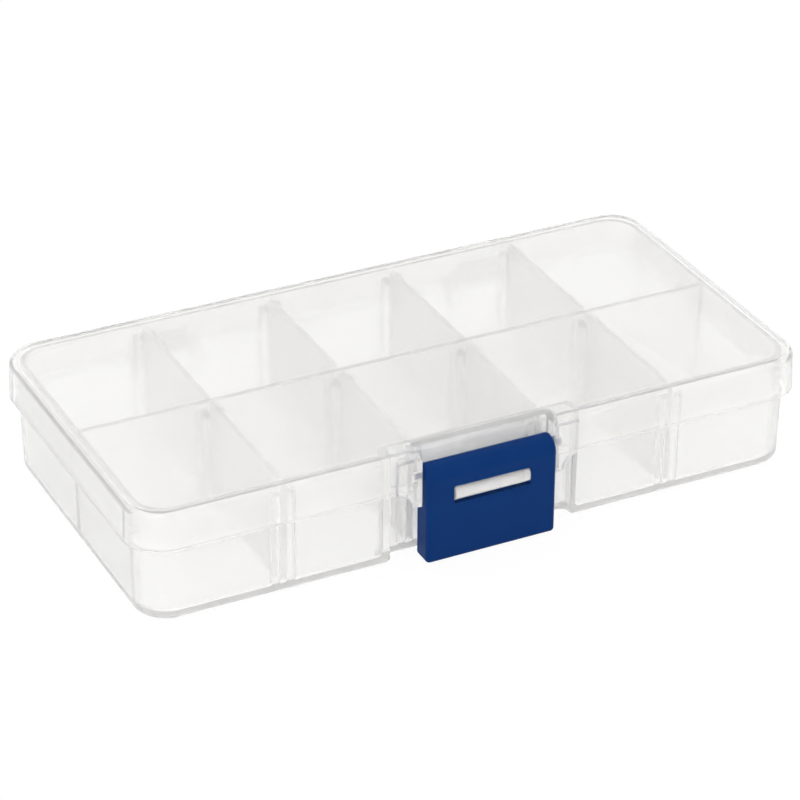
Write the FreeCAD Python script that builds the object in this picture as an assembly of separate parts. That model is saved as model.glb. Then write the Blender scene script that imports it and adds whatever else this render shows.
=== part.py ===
import FreeCAD, Part
import math
import os

# Compartment storage box. Millimetres, +Z up, -Y is the latch side.
# The origin is the middle of the tray's underside.

# Whole box
lid_length = 128.0
lid_width = 65.0
box_height = 22.0

# Lid shell
lid_corner_radius = 7.0
lid_skirt_height = 7.5
lid_side_wall = 1.1
lid_top_wall = 1.0
lid_draft_inset = 0.25
lid_edge_round = 1.4
lid_inside_chamfer = 0.4

# Tray shell
tray_inset = 1.45
tray_corner_radius = 6.4
tray_draft_inset = 0.25
tray_bottom_round = 1.5
tray_wall = 1.35
floor_thickness = 1.2
floor_chamfer = 0.8
shoulder_gap = 0.5
shoulder_step = 0.4
rim_draft_inset = 0.15
mouth_draft = 0.2
lid_seat_gap = 0.1

# Lengthwise wall of the tray
centre_wall_foot = 1.4
centre_wall_head = 1.1

# Dividers and their guide ribs
compartments_per_row = 5
divider_pitch = 24.7
divider_thickness = 1.0
divider_slot_clearance = 0.15
divider_end_clearance = 0.25
divider_lid_gap = 0.3
divider_floor_gap = 0.1
divider_foot_round = 2.0
divider_head_round = 0.6
guide_rib_width = 1.5
guide_rib_reach = 1.3
guide_rib_nose_chamfer = 0.3
guide_rib_drop = 1.2
guide_rib_lead = 1.0

# Recess of the tray behind the latch
recess_half_width = 17.2
recess_depth = 2.55
recess_flare = 0.7
recess_wall = 1.3
recess_round = 1.0
recess_rim_step = 0.5

# Latch
latch_half_width = 12.4
latch_plate = 1.2
latch_side_wall = 1.2
latch_front_reach = 2.1
latch_bottom_height = 0.6
latch_edge_round = 0.8
latch_roll_radius = 2.7
latch_back_radius = 1.75
latch_roll_lip = 1.4
pivot_setback = 0.6
pivot_drop = 4.65
pivot_pin_radius = 0.8
pivot_pin_length = 1.4
pivot_pin_chamfer = 0.25
pivot_clearance = 0.06
slot_half_width = 7.4
slot_drop = 5.85
slot_opening = 3.4
slot_round = 0.5

# Catch rib of the tray that stands through the slot
catch_end_clearance = 0.3
catch_lift = 0.6
catch_thickness = 2.5
catch_nose_round = 1.0
catch_nose_reach = 0.25
catch_lid_gap = 0.3

# Latch niche and ears of the lid
niche_side_clearance = 0.35
niche_sweep_clearance = 0.25
niche_back_wall = 1.0
niche_corner_round = 0.5
ear_wall = 1.2
ear_drop = 2.8
ear_back_gap = 0.6
ear_pin_depth_clearance = 0.3
pad_reach = 0.7
pad_half_width = 17.3
pad_flare = 2.8
pad_root = 0.6
pad_edge_round = 0.3
ear_nose_round = 0.5

# Snap hinge at the back
hinge_half_spacing = 32.0
hinge_axis_setback = 1.4
hinge_axis_drop = 1.1
hinge_bar_radius = 1.0
hinge_clearance = 0.08
clip_wall = 0.8
clip_width = 9.0
clip_mouth_share = 0.8
clip_web_rise = 3.0
cheek_wall = 1.6
cheek_gap = 0.4
cheek_nose_radius = 1.5
cheek_top_gap = 0.4
cheek_foot_drop = 5.2

# Modelling allowances
weld_depth = 0.4
cut_overrun = 2.0
match_tolerance = 0.01

# Values that follow from the sizes above
lid_half_length = lid_length / 2
lid_half_width = lid_width / 2
lid_underside = box_height - lid_top_wall
lid_edge_height = box_height - lid_skirt_height
shoulder_height = lid_edge_height - shoulder_gap
rim_top = lid_underside - lid_seat_gap
divider_top = lid_underside - divider_lid_gap
divider_bottom = floor_thickness + divider_floor_gap
tray_half_length = lid_half_length - tray_inset
tray_half_width = lid_half_width - tray_inset
mouth_half_length = tray_half_length - tray_wall
mouth_half_width = tray_half_width - tray_wall
mouth_corner_radius = tray_corner_radius - tray_wall
floor_half_width = mouth_half_width - mouth_draft
recess_face = tray_half_width - recess_depth
recess_inner_face = recess_face - recess_wall
latch_front = lid_half_width + latch_front_reach
pivot_y = pivot_setback - lid_half_width
pivot_height = box_height - pivot_drop
slot_bottom_height = pivot_height - slot_drop
latch_back = pivot_y + latch_back_radius
latch_top = pivot_height + latch_back_radius
roll_centre_height = latch_top - latch_roll_radius
niche_half_width = latch_half_width + niche_side_clearance
niche_face = latch_back + niche_sweep_clearance
ear_half_width = niche_half_width + ear_wall
ear_bottom_height = lid_edge_height - ear_drop
pad_front = lid_half_width + pad_reach
pad_top_height = box_height - lid_edge_round
catch_tip = latch_front + catch_nose_reach
catch_bottom = slot_bottom_height + catch_lift
hinge_axis_y = lid_half_width + hinge_axis_setback
hinge_axis_height = lid_edge_height - hinge_axis_drop
clip_inner_radius = hinge_bar_radius + hinge_clearance
clip_outer_radius = clip_inner_radius + clip_wall
slot_half_gap = divider_thickness / 2 + divider_slot_clearance

along_x = FreeCAD.Vector(1, 0, 0)
along_z = FreeCAD.Vector(0, 0, 1)
mid_plane = FreeCAD.Vector(0, 0, 0)


def point(x, y, z):
    return FreeCAD.Vector(x, y, z)


def rounded_outline(half_length, half_width, corner_radius, height):
    """Level rectangle with round corners, centred on the vertical axis."""
    quarter = math.pi / 2
    inner_x = half_length - corner_radius
    inner_y = half_width - corner_radius
    corners = [(inner_x, inner_y), (-inner_x, inner_y), (-inner_x, -inner_y), (inner_x, -inner_y)]
    arcs = []
    for turn, (x, y) in enumerate(corners):
        circle = Part.Circle(point(x, y, height), along_z, corner_radius)
        arcs.append(Part.ArcOfCircle(circle, turn * quarter, (turn + 1) * quarter).toShape())
    edges = []
    for turn, arc in enumerate(arcs):
        following = arcs[(turn + 1) % len(arcs)]
        end = arc.valueAt(arc.LastParameter)
        start = following.valueAt(following.FirstParameter)
        edges.append(arc)
        edges.append(Part.makeLine(end, start))
    return Part.Wire(edges)


def tapered_block(low_outline, high_outline):
    return Part.makeLoft([low_outline, high_outline], True, True)


def block(x_from, x_to, y_from, y_to, z_from, z_to):
    corner = point(x_from, y_from, z_from)
    return Part.makeBox(x_to - x_from, y_to - y_from, z_to - z_from, corner)


def rod(x_from, x_to, y, z, radius):
    return Part.makeCylinder(radius, x_to - x_from, point(x_from, y, z), along_x)


def side_prism(corners, x_from, x_to):
    """Prism along X over a closed outline of (y, z) corners."""
    outline = [point(x_from, y, z) for y, z in corners]
    face = Part.Face(Part.makePolygon(outline + outline[:1]))
    return face.extrude(point(x_to - x_from, 0, 0))


def plan_prism(corners, z_from, z_to):
    """Upright prism over a closed outline of (x, y) corners."""
    outline = [point(x, y, z_from) for x, y in corners]
    face = Part.Face(Part.makePolygon(outline + outline[:1]))
    return face.extrude(point(0, 0, z_to - z_from))


def mirrored_pair(shape):
    return [shape, shape.mirror(mid_plane, along_x)]


def level_edges(shape, height):
    found = []
    for edge in shape.Edges:
        low = abs(edge.BoundBox.ZMin - height)
        high = abs(edge.BoundBox.ZMax - height)
        if max(low, high) < match_tolerance:
            found.append(edge)
    return found


def upright_edges(shape, y):
    """Edges that run straight up at one distance from the long axis."""
    found = []
    for edge in shape.Edges:
        box = edge.BoundBox
        off_line = max(abs(box.YMin - y), abs(box.YMax - y), box.XLength)
        if off_line < match_tolerance:
            found.append(edge)
    return found


def recess_cut(face, half_width, z_from, z_to):
    """Space in front of one face of the latch recess, flared to the front and rounded at its back."""
    front = tray_half_width + cut_overrun
    corners = [
        (-half_width - recess_flare, -front),
        (half_width + recess_flare, -front),
        (half_width, -face),
        (-half_width, -face),
    ]
    prism = plan_prism(corners, z_from, z_to)
    return prism.makeFillet(recess_round, upright_edges(prism, -face))


def tray_outside():
    low_length = tray_half_length - tray_draft_inset
    low_width = tray_half_width - tray_draft_inset
    low_radius = tray_corner_radius - tray_draft_inset
    rim_low_length = tray_half_length - shoulder_step
    rim_low_width = tray_half_width - shoulder_step
    rim_low_radius = tray_corner_radius - shoulder_step
    rim_high_length = rim_low_length - rim_draft_inset
    rim_high_width = rim_low_width - rim_draft_inset
    rim_high_radius = rim_low_radius - rim_draft_inset
    body = tapered_block(
        rounded_outline(low_length, low_width, low_radius, 0),
        rounded_outline(tray_half_length, tray_half_width, tray_corner_radius, shoulder_height),
    )
    rim = tapered_block(
        rounded_outline(rim_low_length, rim_low_width, rim_low_radius, shoulder_height),
        rounded_outline(rim_high_length, rim_high_width, rim_high_radius, rim_top),
    )
    lower_recess = recess_cut(recess_face, recess_half_width, -cut_overrun, shoulder_height)
    rim_face = recess_face - recess_rim_step
    upper_recess = recess_cut(rim_face, recess_half_width, shoulder_height, rim_top + cut_overrun)
    body = body.cut(lower_recess)
    body = body.makeFillet(tray_bottom_round, level_edges(body, 0))
    return body.fuse(rim.cut(upper_recess))


def tray_space():
    """Hollow of the tray, kept back behind the latch recess."""
    floor_length = mouth_half_length - mouth_draft
    floor_radius = mouth_corner_radius - mouth_draft
    space_top = rim_top + cut_overrun
    space = tapered_block(
        rounded_outline(floor_length, floor_half_width, floor_radius, floor_thickness),
        rounded_outline(mouth_half_length, mouth_half_width, mouth_corner_radius, space_top),
    )
    kept_half_width = recess_half_width + recess_wall
    kept = recess_cut(recess_inner_face, kept_half_width, 0, space_top + cut_overrun)
    space = space.cut(kept)
    return space.makeChamfer(floor_chamfer, level_edges(space, floor_thickness))


def centre_wall():
    foot = centre_wall_foot / 2
    head = centre_wall_head / 2
    low = floor_thickness - weld_depth
    end = mouth_half_length + weld_depth
    return side_prism([(-foot, low), (foot, low), (head, divider_top), (-head, divider_top)], -end, end)


def guide_rib(x_from, root, nose):
    """One upright rib from a wall, with a sloped lead-in at its head and a bevelled nose."""
    top = divider_top - guide_rib_drop
    low = floor_thickness - weld_depth
    corners = [(root, low), (nose, low), (nose, top - guide_rib_lead), (root, top)]
    rib = side_prism(corners, x_from, x_from + guide_rib_width)
    return rib.makeChamfer(guide_rib_nose_chamfer, upright_edges(rib, nose))


def divider_places():
    count = compartments_per_row - 1
    first = -divider_pitch * (count - 1) / 2
    return [first + divider_pitch * index for index in range(count)]


def behind_recess(x):
    return abs(x) < recess_half_width


def row_wall_face(x, side):
    """Inner face of the long wall that a divider meets, at the floor."""
    if side < 0 and behind_recess(x):
        return recess_inner_face
    return floor_half_width


def guide_ribs():
    ribs = []
    for x in divider_places():
        starts = [x - slot_half_gap - guide_rib_width, x + slot_half_gap]
        for side in (-1, 1):
            wall = row_wall_face(x, side)
            for start in starts:
                wall_root = side * (wall + weld_depth)
                wall_nose = side * (wall - guide_rib_reach)
                centre_nose = side * (centre_wall_foot / 2 + guide_rib_reach)
                ribs.append(guide_rib(start, wall_root, wall_nose))
                ribs.append(guide_rib(start, 0, centre_nose))
    return ribs


def catch_rib():
    """Rib that holds the shut latch: a tall round nose in the slot on a lower root under the lid's edge."""
    half_width = slot_half_width - catch_end_clearance
    top = catch_bottom + catch_thickness
    root_top = lid_edge_height - catch_lid_gap
    root = recess_inner_face + weld_depth
    corners = [
        (-root, catch_bottom),
        (-catch_tip, catch_bottom),
        (-catch_tip, top),
        (latch_back, top),
        (latch_back, root_top),
        (-root, root_top),
    ]
    rib = side_prism(corners, -half_width, half_width)
    nose = [edge for edge in rib.Edges if edge.BoundBox.YMax < match_tolerance - catch_tip]
    long_edges = [edge for edge in nose if edge.BoundBox.XLength > half_width]
    return rib.makeFillet(catch_nose_round, long_edges)


def hinge_bracket(x):
    """Two cheeks on the tray's back wall with the round bar between them."""
    inner = clip_width / 2 + cheek_gap
    outer = inner + cheek_wall
    root = tray_half_width - weld_depth
    top = lid_edge_height - cheek_top_gap
    nose_low = hinge_axis_height - cheek_nose_radius
    corners = [
        (root, hinge_axis_height - cheek_foot_drop),
        (hinge_axis_y, nose_low),
        (hinge_axis_y, top),
        (root, top),
    ]
    pieces = [rod(x - outer, x + outer, hinge_axis_y, hinge_axis_height, hinge_bar_radius)]
    for start in (x - outer, x + inner):
        pieces.append(side_prism(corners, start, start + cheek_wall))
        pieces.append(rod(start, start + cheek_wall, hinge_axis_y, hinge_axis_height, cheek_nose_radius))
    return pieces[0].multiFuse(pieces[1:]).removeSplitter()


def base_tray():
    shell = tray_outside().cut(tray_space())
    pieces = [centre_wall(), catch_rib()]
    pieces += guide_ribs()
    pieces += mirrored_pair(hinge_bracket(hinge_half_spacing))
    return shell.multiFuse(pieces).removeSplitter()


def latch_niche():
    """Space for the latch in the lid's front, with round corners at its back."""
    front = lid_half_width + cut_overrun
    top = box_height + cut_overrun
    niche = block(-niche_half_width, niche_half_width, -front, niche_face, 0, top)
    return niche.makeFillet(niche_corner_round, upright_edges(niche, niche_face))


def lid_outside():
    """Outside of the lid with the niche cut in, its top edge rounded all the way along."""
    top_length = lid_half_length - lid_draft_inset
    top_width = lid_half_width - lid_draft_inset
    top_radius = lid_corner_radius - lid_draft_inset
    body = tapered_block(
        rounded_outline(lid_half_length, lid_half_width, lid_corner_radius, lid_edge_height),
        rounded_outline(top_length, top_width, top_radius, box_height),
    )
    body = body.cut(latch_niche())
    return body.makeFillet(lid_edge_round, level_edges(body, box_height))


def lid_space():
    """Hollow of the lid, kept back round the latch niche."""
    low_length = lid_half_length - lid_side_wall
    low_width = lid_half_width - lid_side_wall
    low_radius = lid_corner_radius - lid_side_wall
    high_length = low_length - lid_draft_inset
    high_width = low_width - lid_draft_inset
    high_radius = low_radius - lid_draft_inset
    space = tapered_block(
        rounded_outline(low_length, low_width, low_radius, lid_edge_height),
        rounded_outline(high_length, high_width, high_radius, lid_underside),
    )
    space = space.makeChamfer(lid_inside_chamfer, level_edges(space, lid_underside))
    kept_back = niche_face + niche_back_wall
    kept = block(-ear_half_width, ear_half_width, -lid_half_width, kept_back, 0, box_height)
    return space.cut(kept)


def ear():
    """Pivot ear on the right of the niche with the flared pad in front of the skirt."""
    back = niche_face - ear_back_gap + niche_back_wall
    plate = block(niche_half_width, ear_half_width, -pad_front, back, ear_bottom_height, pad_top_height)
    plate = plate.makeFillet(ear_nose_round, level_nose_edges(plate))
    flare_start = pad_half_width - pad_flare
    flare_top = ear_bottom_height + pad_flare
    flare_share = math.sqrt(1 / 2)
    flare_x = pad_half_width - pad_flare * flare_share
    flare_z = ear_bottom_height + pad_flare * flare_share
    corners = [
        point(pad_half_width, -pad_front, flare_top),
        point(pad_half_width, -pad_front, pad_top_height),
        point(niche_half_width, -pad_front, pad_top_height),
        point(niche_half_width, -pad_front, ear_bottom_height),
        point(flare_start, -pad_front, ear_bottom_height),
    ]
    edges = [Part.makeLine(start, end) for start, end in zip(corners, corners[1:])]
    flare = Part.Arc(corners[-1], point(flare_x, -pad_front, flare_z), corners[0])
    edges.append(flare.toShape())
    pad_depth = pad_reach + pad_root
    pad = Part.Face(Part.Wire(edges)).extrude(point(0, pad_depth, 0))
    outer_edge = [edge for edge in upright_edges(pad, -pad_front) if edge.BoundBox.XMin > ear_half_width]
    pad = pad.makeFillet(pad_edge_round, outer_edge)
    return plate.fuse(pad)


def level_nose_edges(plate):
    """Lowest back edge of an ear plate."""
    box = plate.BoundBox
    found = []
    for edge in level_edges(plate, box.ZMin):
        if abs(edge.BoundBox.YMin - box.YMax) < match_tolerance:
            found.append(edge)
    return found


def hinge_clip(x):
    """Open clip that snaps over the hinge bar, on a web from the lid's skirt."""
    start = x - clip_width / 2
    end = x + clip_width / 2
    root = lid_half_width - pad_root
    shoulder = hinge_axis_height + clip_outer_radius
    corners = [
        (root, lid_edge_height),
        (hinge_axis_y, lid_edge_height),
        (hinge_axis_y, shoulder),
        (lid_half_width, lid_edge_height + clip_web_rise),
        (root, lid_edge_height + clip_web_rise),
    ]
    ring = rod(start, end, hinge_axis_y, hinge_axis_height, clip_outer_radius)
    clip = ring.fuse(side_prism(corners, start, end))
    mouth = hinge_bar_radius * clip_mouth_share
    below = hinge_axis_height - clip_outer_radius - cut_overrun
    clip = clip.cut(rod(start, end, hinge_axis_y, hinge_axis_height, clip_inner_radius))
    gap = block(start, end, hinge_axis_y - mouth, hinge_axis_y + mouth, below, hinge_axis_height)
    return clip.cut(gap).removeSplitter()


def lid():
    shell = lid_outside().cut(lid_space())
    pieces = mirrored_pair(ear())
    pieces += mirrored_pair(hinge_clip(hinge_half_spacing))
    shell = shell.multiFuse(pieces)
    bore_end = latch_half_width + pivot_pin_length + ear_pin_depth_clearance
    bore = rod(-bore_end, bore_end, pivot_y, pivot_height, pivot_pin_radius + pivot_clearance)
    return shell.cut(bore).removeSplitter()


def latch_outline(x, inset, front_low):
    """Closed side outline of the latch: flat front, front roll and back roll about the pivot."""
    front = inset - latch_front
    roll = latch_roll_radius - inset
    back_roll = latch_back_radius - inset
    turn_share = math.sqrt(1 / 2)
    top = latch_top - inset
    back = latch_back - inset
    front_start = point(x, front, front_low)
    roll_start = point(x, front, roll_centre_height)
    roll_middle = point(x, pivot_y - roll * turn_share, roll_centre_height + roll * turn_share)
    roll_top = point(x, pivot_y, top)
    back_middle = point(x, pivot_y + back_roll * turn_share, pivot_height + back_roll * turn_share)
    back_start = point(x, back, pivot_height)
    return front_start, roll_start, roll_middle, roll_top, back_middle, back_start


def latch_block():
    start, roll, roll_middle, top, back_middle, back = latch_outline(-latch_half_width, 0, latch_bottom_height)
    heel = point(-latch_half_width, latch_back, latch_bottom_height)
    edges = [
        Part.makeLine(start, roll),
        Part.Arc(roll, roll_middle, top).toShape(),
        Part.Arc(top, back_middle, back).toShape(),
        Part.makeLine(back, heel),
        Part.makeLine(heel, start),
    ]
    solid = Part.Face(Part.Wire(edges)).extrude(point(latch_half_width * 2, 0, 0))
    rounded = []
    for edge in solid.Edges:
        box = edge.BoundBox
        on_side = box.XLength < match_tolerance
        on_back = box.YMin > latch_back - match_tolerance
        if on_side and not on_back:
            rounded.append(edge)
        if box.XLength > match_tolerance and box.ZMax < latch_bottom_height + match_tolerance:
            rounded.append(edge)
    return solid.makeFillet(latch_edge_round, rounded)


def latch_space():
    """Hollow of the latch, open at its back and foot, with a lip left under the roll."""
    half_width = latch_half_width - latch_side_wall
    low = latch_bottom_height - cut_overrun
    start, roll, roll_middle, top, back_middle, back = latch_outline(-half_width, latch_plate, low)
    lip = pivot_height - latch_roll_lip
    behind = latch_back + cut_overrun
    lip_inside = point(-half_width, back.y, lip)
    lip_outside = point(-half_width, behind, lip)
    foot = point(-half_width, behind, low)
    edges = [
        Part.makeLine(start, roll),
        Part.Arc(roll, roll_middle, top).toShape(),
        Part.Arc(top, back_middle, back).toShape(),
        Part.makeLine(back, lip_inside),
        Part.makeLine(lip_inside, lip_outside),
        Part.makeLine(lip_outside, foot),
        Part.makeLine(foot, start),
    ]
    return Part.Face(Part.Wire(edges)).extrude(point(half_width * 2, 0, 0))


def latch_slot():
    front = latch_front + cut_overrun
    back = latch_front - latch_plate - cut_overrun
    slot_top = slot_bottom_height + slot_opening
    hole = block(-slot_half_width, slot_half_width, -front, -back, slot_bottom_height, slot_top)
    corners = [edge for edge in hole.Edges if edge.BoundBox.YLength > slot_opening]
    return hole.makeFillet(slot_round, corners)


def pivot_pin():
    start = latch_half_width - latch_side_wall
    end = latch_half_width + pivot_pin_length
    pin = rod(start, end, pivot_y, pivot_height, pivot_pin_radius)
    tip = [edge for edge in pin.Edges if edge.BoundBox.XMin > end - match_tolerance]
    return pin.makeChamfer(pivot_pin_chamfer, tip)


def latch():
    shell = latch_block().cut(latch_space()).cut(latch_slot())
    return shell.multiFuse(mirrored_pair(pivot_pin())).removeSplitter()


def divider(x, side):
    """Loose plate across one row, standing on the floor between its guide ribs."""
    start = x - divider_thickness / 2
    inner_foot = centre_wall_foot / 2 + divider_end_clearance
    inner_head = centre_wall_head / 2 + divider_end_clearance
    outer_foot = row_wall_face(x, side) - divider_end_clearance
    share = math.sqrt(1 / 2)
    turn = divider_foot_round * (1 - share)
    corners = [
        point(start, side * (outer_foot - divider_foot_round), divider_bottom),
        point(start, side * inner_foot, divider_bottom),
        point(start, side * inner_head, divider_top),
        point(start, side * outer_foot, divider_top),
        point(start, side * outer_foot, divider_bottom + divider_foot_round),
    ]
    middle = point(start, side * (outer_foot - turn), divider_bottom + turn)
    edges = [Part.makeLine(low, high) for low, high in zip(corners, corners[1:])]
    edges.append(Part.Arc(corners[-1], middle, corners[0]).toShape())
    plate = Part.Face(Part.Wire(edges)).extrude(point(divider_thickness, 0, 0))
    head = []
    for edge in level_edges(plate, divider_top):
        if edge.BoundBox.YLength < match_tolerance:
            head.append(edge)
    return plate.makeFillet(divider_head_round, head)


def save(shape, name):
    solid = shape.Solids[0]
    solid.exportStep("parts/" + name + ".step")
    print(name, len(shape.Solids), shape.isValid(), round(shape.Volume, 1))


def build():
    os.makedirs("parts", exist_ok=True)
    save(base_tray(), "base_tray")
    save(lid(), "lid")
    save(latch(), "latch")
    for row, side in (("front", -1), ("back", 1)):
        for number, x in enumerate(divider_places(), start=1):
            save(divider(x, side), "divider_" + row + "_" + str(number))


build()
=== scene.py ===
import math

import bpy
from bpy.props import FloatProperty, FloatVectorProperty, IntProperty, PointerProperty
from bpy.types import Operator, Panel, PropertyGroup
from mathutils import Matrix, Vector


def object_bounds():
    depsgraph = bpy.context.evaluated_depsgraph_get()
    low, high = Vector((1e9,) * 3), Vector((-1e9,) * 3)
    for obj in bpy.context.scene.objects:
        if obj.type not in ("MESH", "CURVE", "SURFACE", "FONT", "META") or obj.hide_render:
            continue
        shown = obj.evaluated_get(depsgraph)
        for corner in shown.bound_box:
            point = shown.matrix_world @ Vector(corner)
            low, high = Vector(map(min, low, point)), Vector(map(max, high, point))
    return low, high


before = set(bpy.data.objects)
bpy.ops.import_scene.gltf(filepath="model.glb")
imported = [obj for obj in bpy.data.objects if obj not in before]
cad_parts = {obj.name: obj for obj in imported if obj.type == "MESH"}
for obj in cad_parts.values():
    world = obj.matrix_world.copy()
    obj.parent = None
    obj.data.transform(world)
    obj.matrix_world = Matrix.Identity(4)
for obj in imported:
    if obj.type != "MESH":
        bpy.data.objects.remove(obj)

bl_info = {
    "name": "Compartment storage box",
    "version": (1, 0, 0),
    "blender": (4, 5, 0),
    "location": "View3D > Sidebar > Storage box",
    "description": "Dresses the packed storage box in hazy clear plastic and sets its studio",
    "category": "Object",
}

CAD_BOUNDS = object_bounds()
CLEAR_TRAY = ["base_tray"]
CLEAR_LID = ["lid"]
LATCH = ["latch"]
DIVIDERS = sorted(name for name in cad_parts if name.startswith("divider_"))

# Fractal noise lies mostly between these two values, which are spread over a whole range.
NOISE_LOW, NOISE_HIGH = 0.3, 0.7
# Cells to the metre and detail of each noise.
CLEAR_CLOUD, CLEAR_RIPPLE = (60.0, 3.0), (25.0, 2.0)
LATCH_CLOUD, LATCH_GRAIN = (180.0, 4.0), (3500.0, 2.0)
# Strength and depth in metres of each bump.
RIPPLE_BUMP, GRAIN_BUMP = (0.05, 0.001), (0.12, 0.0001)
# The clear plastic's tint in the cloud's troughs, as a share of its tint on the peaks.
CLOUD_SHADE = 0.992
# Roughness that the cloud adds to each plastic, and that a haze of 1 adds to the clear one.
CLEAR_CLOUD_ROUGHNESS, LATCH_CLOUD_ROUGHNESS, HAZE_ROUGHNESS = 0.06, 0.08, 0.5
SENSOR_WIDTH_MM = 36.0
CAMERA_CLIP = (0.01, 50.0)


class ClearPlasticSettings(PropertyGroup):
    """Hazy polypropylene of the tray, the lid and the dividers."""

    tint: FloatVectorProperty(
        name="Tint",
        description="Colour of the hazy plastic",
        subtype="COLOR",
        default=(0.999, 0.996, 0.991),
        min=0.0,
        max=1.0,
    )
    clearness: FloatProperty(
        name="Clearness",
        description="Share of light that the plastic lets straight through",
        subtype="FACTOR",
        default=0.83,
        min=0.0,
        max=1.0,
    )
    gloss_roughness: FloatProperty(
        name="Gloss roughness",
        description="Roughness of the tray's and the dividers' surface",
        subtype="FACTOR",
        default=0.21,
        min=0.0,
        max=1.0,
    )
    lid_roughness: FloatProperty(
        name="Lid roughness",
        description="Roughness of the lid's smoother surface",
        subtype="FACTOR",
        default=0.12,
        min=0.0,
        max=1.0,
    )
    refraction: FloatProperty(
        name="Refraction",
        description="Index of refraction of polypropylene",
        default=1.49,
        min=1.0,
        max=2.0,
    )
    divider_haze: FloatProperty(
        name="Divider haze",
        description="Clearness that the cloudier dividers lack",
        subtype="FACTOR",
        default=0.3,
        min=0.0,
        max=1.0,
    )
    # Painted shade: the dividers' whole tint is darkened to this share of the tray's, so that they
    # read as the shaded planes inside the box.
    divider_painted_shade: FloatProperty(
        name="Divider shade",
        description="Tint of the dividers as a share of the tray's",
        subtype="FACTOR",
        default=0.95,
        min=0.0,
        max=1.0,
    )


class LatchPlasticSettings(PropertyGroup):
    """Coloured plastic of the latch."""

    colour: FloatVectorProperty(
        name="Colour",
        description="Blue of the latch",
        subtype="COLOR",
        default=(0.0015, 0.024, 0.118),
        min=0.0,
        max=1.0,
    )
    worn_colour: FloatVectorProperty(
        name="Worn colour",
        description="Slightly paler blue in the cloudy patches",
        subtype="COLOR",
        default=(0.0025, 0.032, 0.145),
        min=0.0,
        max=1.0,
    )
    roughness: FloatProperty(
        name="Roughness",
        description="Roughness of the latch's surface",
        subtype="FACTOR",
        default=0.34,
        min=0.0,
        max=1.0,
    )
    refraction: FloatProperty(
        name="Refraction",
        description="Index of refraction of the latch's plastic",
        default=1.49,
        min=1.0,
        max=2.0,
    )
    gloss: FloatProperty(
        name="Gloss",
        description="Strength of the latch's mirrored light, where 0.5 is plain plastic",
        subtype="FACTOR",
        default=0.05,
        min=0.0,
        max=1.0,
    )


class StageSettings(PropertyGroup):
    """Floor, light and camera."""

    camera_distance: FloatProperty(
        name="Camera distance",
        description="Distance from the camera to the point it looks at",
        unit="LENGTH",
        default=0.588884,
    )
    camera_azimuth: FloatProperty(
        name="Camera azimuth",
        description="Turn of the camera about the vertical, from straight in front",
        subtype="ANGLE",
        default=math.radians(-26.591),
    )
    camera_elevation: FloatProperty(
        name="Camera elevation",
        description="Height of the camera above the level",
        subtype="ANGLE",
        default=math.radians(29.887),
    )
    camera_roll: FloatProperty(
        name="Camera roll",
        description="Tilt of the camera about its own view",
        subtype="ANGLE",
        default=math.radians(0.372),
    )
    camera_lens: FloatProperty(
        name="Camera lens",
        description="Focal length in millimetres on a 36 mm sensor",
        default=149.965,
    )
    camera_target: FloatVectorProperty(
        name="Camera target",
        description="Point that the camera looks at",
        subtype="TRANSLATION",
        unit="LENGTH",
        default=(-0.001862, -0.002845, 0.013968),
    )
    floor_size: FloatProperty(
        name="Floor size",
        description="Side of the square floor",
        unit="LENGTH",
        default=8.0,
    )
    floor_colour: FloatVectorProperty(
        name="Floor colour",
        description="Colour of the floor",
        subtype="COLOR",
        default=(0.97, 0.97, 0.97),
        min=0.0,
        max=1.0,
    )
    floor_whiteness: FloatProperty(
        name="Floor whiteness",
        description="Share of plain white in the floor as it is seen",
        subtype="FACTOR",
        default=0.95,
        min=0.0,
        max=1.0,
    )
    floor_glow: FloatProperty(
        name="Floor glow",
        description="Strength of the floor's white, where 1 is plain white",
        default=1.0,
    )
    floor_gap: FloatProperty(
        name="Floor gap",
        description="Air between the floor and the object's underside",
        unit="LENGTH",
        default=0.00005,
    )
    level_light: FloatProperty(
        name="Level light",
        description="Strength of the studio's light from the sides",
        default=0.65,
    )
    overhead_light: FloatProperty(
        name="Overhead light",
        description="Strength of the studio's light from straight above",
        default=1.38,
    )
    key_place: FloatVectorProperty(
        name="Key light place",
        description="Place of the large soft light, which faces the origin",
        subtype="TRANSLATION",
        unit="LENGTH",
        default=(-0.4, -0.55, 0.35),
    )
    key_size: FloatProperty(
        name="Key light size",
        description="Side of the large soft light",
        unit="LENGTH",
        default=0.5,
    )
    key_power: FloatProperty(
        name="Key light power",
        description="Power of the large soft light",
        unit="POWER",
        default=1.0,
    )
    light_bounces: IntProperty(
        name="Light bounces",
        description="Most walls that one ray of light passes or bounces off",
        default=32,
        min=1,
    )


def settings():
    """The box's settings on the scene."""
    return bpy.context.scene.storage_box


def add_node(tree, kind, x, y, **values):
    """New shader node at a place in the editor, with its plain attributes set."""
    node = tree.nodes.new(kind)
    node.location = (x, y)
    for name, value in values.items():
        setattr(node, name, value)
    return node


def new_material(name):
    """New material with an empty node tree."""
    material = bpy.data.materials.new(name)
    material.use_nodes = True
    tree = material.node_tree
    tree.nodes.clear()
    return material, tree


def object_noise(tree, grain, x, y):
    """Fractal noise on the piece's own coordinates, from its cells to the metre and its detail."""
    place = add_node(tree, "ShaderNodeTexCoord", x - 400, y)
    noise = add_node(tree, "ShaderNodeTexNoise", x, y)
    noise.inputs["Scale"].default_value, noise.inputs["Detail"].default_value = grain
    tree.links.new(place.outputs["Object"], noise.inputs["Vector"])
    return noise.outputs["Fac"]


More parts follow.
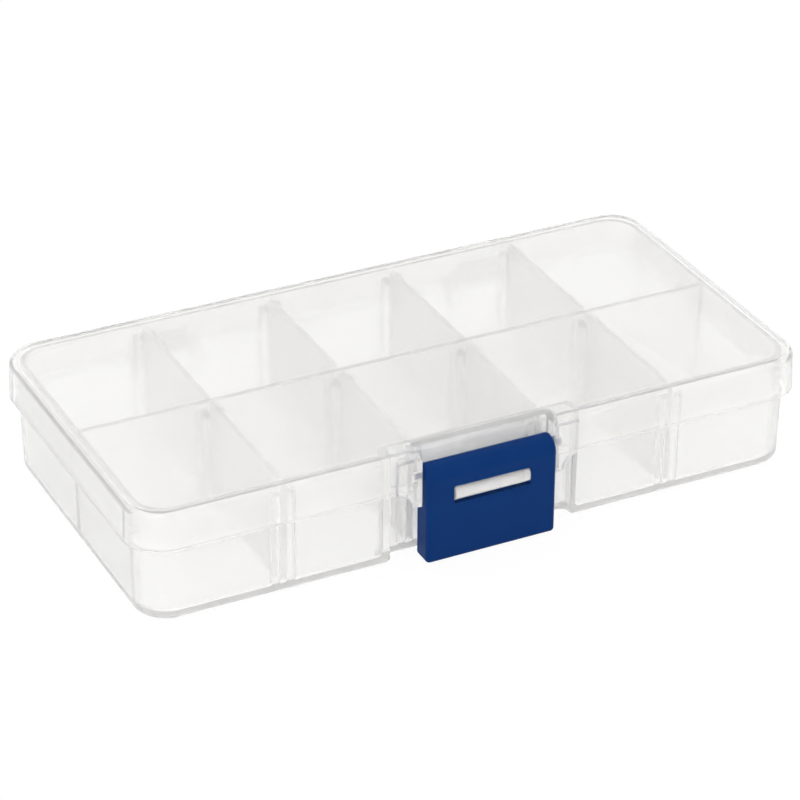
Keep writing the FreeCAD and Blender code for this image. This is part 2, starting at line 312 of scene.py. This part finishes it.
def cloud_surface(tree, surface, grain, colours, low, added):
    """Let a noise vary a shader's colour between two tones and add to its low roughness."""
    cloud = object_noise(tree, grain, -500, 200)
    mix = add_node(tree, "ShaderNodeMix", -150, 250, data_type="RGBA")
    for socket, colour in zip(("A", "B"), colours):
        mix.inputs[socket].default_value = (*colour, 1.0)
    tree.links.new(cloud, mix.inputs["Factor"])
    tree.links.new(mix.outputs["Result"], surface.inputs["Base Color"])
    spread = add_node(tree, "ShaderNodeMapRange", -150, 0)
    spread.inputs["From Min"].default_value = NOISE_LOW
    spread.inputs["From Max"].default_value = NOISE_HIGH
    spread.inputs["To Min"].default_value = low
    spread.inputs["To Max"].default_value = low + added
    tree.links.new(cloud, spread.inputs["Value"])
    tree.links.new(spread.outputs["Result"], surface.inputs["Roughness"])


def bump_surface(tree, surface, grain, height):
    """Let a noise ripple a shader's surface by a bump of such strength and depth."""
    bump = add_node(tree, "ShaderNodeBump", -100, -300)
    bump.inputs["Strength"].default_value, bump.inputs["Distance"].default_value = height
    tree.links.new(object_noise(tree, grain, -500, -300), bump.inputs["Height"])
    tree.links.new(bump.outputs["Normal"], surface.inputs["Normal"])


def new_plastic(name):
    """New material with one Principled shader."""
    material, tree = new_material(name)
    output = add_node(tree, "ShaderNodeOutputMaterial", 600, 0)
    surface = add_node(tree, "ShaderNodeBsdfPrincipled", 250, 0)
    tree.links.new(surface.outputs["BSDF"], output.inputs["Surface"])
    return material, tree, surface


def clear_plastic(name, roughness, haze=0.0, painted_shade=1.0):
    """Hazy clear plastic, a little cloudy in tint and roughness, with a faint moulded ripple, its
    whole tint darkened by a share of painted shade.
    """
    values = settings().clear_plastic
    material, tree, surface = new_plastic(name)
    surface.inputs["IOR"].default_value = values.refraction
    surface.inputs["Transmission Weight"].default_value = max(values.clearness - haze, 0.0)
    # A painted shade share below 1 darkens the whole tint, standing in for shade on the dividers.
    tint = Vector(values.tint) * painted_shade
    low = roughness + haze * HAZE_ROUGHNESS
    colours = (tint * CLOUD_SHADE, tint)
    cloud_surface(tree, surface, CLEAR_CLOUD, colours, low, CLEAR_CLOUD_ROUGHNESS)
    bump_surface(tree, surface, CLEAR_RIPPLE, RIPPLE_BUMP)
    return material


def latch_plastic(name):
    """Coloured moulded plastic with a fine satin grain."""
    values = settings().latch_plastic
    material, tree, surface = new_plastic(name)
    surface.inputs["IOR"].default_value = values.refraction
    surface.inputs["Specular IOR Level"].default_value = values.gloss
    colours = (values.colour, values.worn_colour)
    cloud_surface(tree, surface, LATCH_CLOUD, colours, values.roughness, LATCH_CLOUD_ROUGHNESS)
    bump_surface(tree, surface, LATCH_GRAIN, GRAIN_BUMP)
    return material


def dress(names, material):
    """Give CAD nodes one material."""
    for name in names:
        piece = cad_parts[name]
        for slot in piece.material_slots:
            slot.material = material
        if not piece.material_slots:
            piece.data.materials.append(material)


class BOX_OT_tray(Operator):
    """Dress the tray in hazy clear plastic"""

    bl_idname = "storage_box.tray"
    bl_label = "Tray"

    def execute(self, context):
        roughness = settings().clear_plastic.gloss_roughness
        dress(CLEAR_TRAY, clear_plastic("tray_clear_plastic", roughness))
        return {"FINISHED"}


class BOX_OT_dividers(Operator):
    """Dress the loose dividers in slightly cloudier clear plastic, its tint darkened by a painted
    shade
    """

    bl_idname = "storage_box.dividers"
    bl_label = "Dividers"

    def execute(self, context):
        values = settings().clear_plastic
        # The second value is a painted shade share that darkens the dividers' tint.
        haze, painted_shade = values.divider_haze, values.divider_painted_shade
        plastic = clear_plastic("divider_clear_plastic", values.gloss_roughness, haze, painted_shade)
        dress(DIVIDERS, plastic)
        return {"FINISHED"}


class BOX_OT_lid(Operator):
    """Dress the lid in hazy clear plastic"""

    bl_idname = "storage_box.lid"
    bl_label = "Lid"

    def execute(self, context):
        roughness = settings().clear_plastic.lid_roughness
        dress(CLEAR_LID, clear_plastic("lid_clear_plastic", roughness))
        return {"FINISHED"}


class BOX_OT_latch(Operator):
    """Dress the latch in blue plastic"""

    bl_idname = "storage_box.latch"
    bl_label = "Latch"

    def execute(self, context):
        dress(LATCH, latch_plastic("latch_blue_plastic"))
        return {"FINISHED"}


def seen_share(tree, share, x, y):
    """Share for rays that look straight, by a mirror or through plastic, and 0 for others."""
    path = add_node(tree, "ShaderNodeLightPath", x, y)
    mirrored = add_node(tree, "ShaderNodeMath", x + 200, y, operation="MAXIMUM")
    looked = add_node(tree, "ShaderNodeMath", x + 400, y, operation="MAXIMUM")
    scaled = add_node(tree, "ShaderNodeMath", x + 600, y, operation="MULTIPLY")
    scaled.inputs[1].default_value = share
    tree.links.new(path.outputs["Is Camera Ray"], mirrored.inputs[0])
    tree.links.new(path.outputs["Is Glossy Ray"], mirrored.inputs[1])
    tree.links.new(mirrored.outputs[0], looked.inputs[0])
    tree.links.new(path.outputs["Is Transmission Ray"], looked.inputs[1])
    tree.links.new(looked.outputs[0], scaled.inputs[0])
    return scaled.outputs[0]


def floor_material(values):
    """Pale matte floor that looks nearly white and keeps a share of the shadow."""
    material, tree = new_material("floor_white")
    material.cycles.emission_sampling = "NONE"
    output = add_node(tree, "ShaderNodeOutputMaterial", 500, 0)
    matte = add_node(tree, "ShaderNodeBsdfDiffuse", 0, 100)
    matte.inputs["Color"].default_value = (*values.floor_colour, 1.0)
    white = add_node(tree, "ShaderNodeEmission", 0, -100)
    white.inputs["Strength"].default_value = values.floor_glow
    both = add_node(tree, "ShaderNodeMixShader", 300, 0)
    tree.links.new(seen_share(tree, values.floor_whiteness, -700, -300), both.inputs["Fac"])
    tree.links.new(matte.outputs[0], both.inputs[1])
    tree.links.new(white.outputs[0], both.inputs[2])
    tree.links.new(both.outputs[0], output.inputs["Surface"])
    return material


def set_world(values):
    """Soft white light, stronger from above than from the sides, that looks plain white."""
    world = bpy.data.worlds.new("studio_white")
    bpy.context.scene.world = world
    world.use_nodes = True
    tree = world.node_tree
    tree.nodes.clear()
    output = add_node(tree, "ShaderNodeOutputWorld", 500, 0)
    way = add_node(tree, "ShaderNodeTexCoord", -700, 200)
    parts = add_node(tree, "ShaderNodeSeparateXYZ", -500, 200)
    level = add_node(tree, "ShaderNodeMapRange", -300, 200)
    level.inputs["To Min"].default_value = values.level_light
    level.inputs["To Max"].default_value = values.overhead_light
    light = add_node(tree, "ShaderNodeBackground", 0, 100)
    sight = add_node(tree, "ShaderNodeBackground", 0, -100)
    for node in (light, sight):
        node.inputs["Color"].default_value = (1.0, 1.0, 1.0, 1.0)
    choice = add_node(tree, "ShaderNodeMixShader", 300, 0)
    tree.links.new(way.outputs["Generated"], parts.inputs["Vector"])
    tree.links.new(parts.outputs["Z"], level.inputs["Value"])
    tree.links.new(level.outputs["Result"], light.inputs["Strength"])
    tree.links.new(seen_share(tree, 1.0, -700, -300), choice.inputs["Fac"])
    tree.links.new(light.outputs[0], choice.inputs[1])
    tree.links.new(sight.outputs[0], choice.inputs[2])
    tree.links.new(choice.outputs[0], output.inputs["Surface"])


def set_camera(values):
    """Camera on a sphere round its target, level but for its roll."""
    turn, lift, roll = values.camera_azimuth, values.camera_elevation, values.camera_roll
    level = math.cos(lift)
    back = Vector((math.sin(turn) * level, -math.cos(turn) * level, math.sin(lift)))
    right = Vector((math.cos(turn), math.sin(turn), 0.0))
    up = back.cross(right)
    rolled_right = right * math.cos(roll) + up * math.sin(roll)
    rolled_up = up * math.cos(roll) - right * math.sin(roll)
    data = bpy.data.cameras.new("photo_camera")
    data.lens = values.camera_lens
    data.sensor_width = SENSOR_WIDTH_MM
    data.clip_start, data.clip_end = CAMERA_CLIP
    camera = bpy.data.objects.new("photo_camera", data)
    axes = Matrix((rolled_right, rolled_up, back)).transposed().to_4x4()
    axes.translation = Vector(values.camera_target) + back * values.camera_distance
    camera.matrix_world = axes
    bpy.context.scene.collection.objects.link(camera)
    bpy.context.scene.camera = camera


def add_key_light(values):
    """Square soft light that faces the origin."""
    data = bpy.data.lights.new("key_soft_light", "AREA")
    data.shape = "SQUARE"
    data.size = values.key_size
    data.energy = values.key_power
    lamp = bpy.data.objects.new("key_soft_light", data)
    place = Vector(values.key_place)
    lamp.location = place
    lamp.rotation_euler = place.to_track_quat("Z", "Y").to_euler()
    bpy.context.scene.collection.objects.link(lamp)


class BOX_OT_stage(Operator):
    """Set the floor, the light and the camera"""

    bl_idname = "storage_box.stage"
    bl_label = "Stage"

    def execute(self, context):
        values = settings().stage
        half = values.floor_size / 2
        level = CAD_BOUNDS[0][2] - values.floor_gap
        mesh = bpy.data.meshes.new("floor")
        sides = [(-half, -half), (half, -half), (half, half), (-half, half)]
        mesh.from_pydata([(x, y, level) for x, y in sides], [], [(0, 1, 2, 3)])
        floor = bpy.data.objects.new("floor", mesh)
        mesh.materials.append(floor_material(values))
        context.scene.collection.objects.link(floor)
        set_world(values)
        add_key_light(values)
        set_camera(values)
        context.scene.view_settings.view_transform = "Standard"
        light_paths = context.scene.cycles
        light_paths.blur_glossy = 0.0
        for kind in ("max", "diffuse", "glossy", "transmission"):
            setattr(light_paths, kind + "_bounces", values.light_bounces)
        return {"FINISHED"}


class StorageBoxSettings(PropertyGroup):
    """All settings of the storage box."""

    clear_plastic: PointerProperty(type=ClearPlasticSettings)
    latch_plastic: PointerProperty(type=LatchPlasticSettings)
    stage: PointerProperty(type=StageSettings)


class BOX_PT_panel(Panel):
    """Buttons and settings of the storage box"""

    bl_label = "Storage box"
    bl_idname = "BOX_PT_panel"
    bl_space_type = "VIEW_3D"
    bl_region_type = "UI"
    bl_category = "Storage box"

    def draw(self, context):
        layout = self.layout
        for operator in OPERATORS:
            layout.operator(operator.bl_idname)
        values = context.scene.storage_box
        for group in (values.clear_plastic, values.latch_plastic, values.stage):
            box = layout.box()
            for name in group.__annotations__:
                box.prop(group, name)


OPERATORS = (BOX_OT_tray, BOX_OT_dividers, BOX_OT_lid, BOX_OT_latch, BOX_OT_stage)
SETTINGS = (ClearPlasticSettings, LatchPlasticSettings, StageSettings, StorageBoxSettings)
CLASSES = (*SETTINGS, *OPERATORS, BOX_PT_panel)


def register():
    for item in CLASSES:
        bpy.utils.register_class(item)
    bpy.types.Scene.storage_box = PointerProperty(type=StorageBoxSettings)


def unregister():
    del bpy.types.Scene.storage_box
    for item in reversed(CLASSES):
        bpy.utils.unregister_class(item)


def main():
    register()
    bpy.ops.storage_box.tray()
    bpy.ops.storage_box.dividers()
    bpy.ops.storage_box.lid()
    bpy.ops.storage_box.latch()
    bpy.ops.storage_box.stage()


if __name__ == "__main__":
    main()
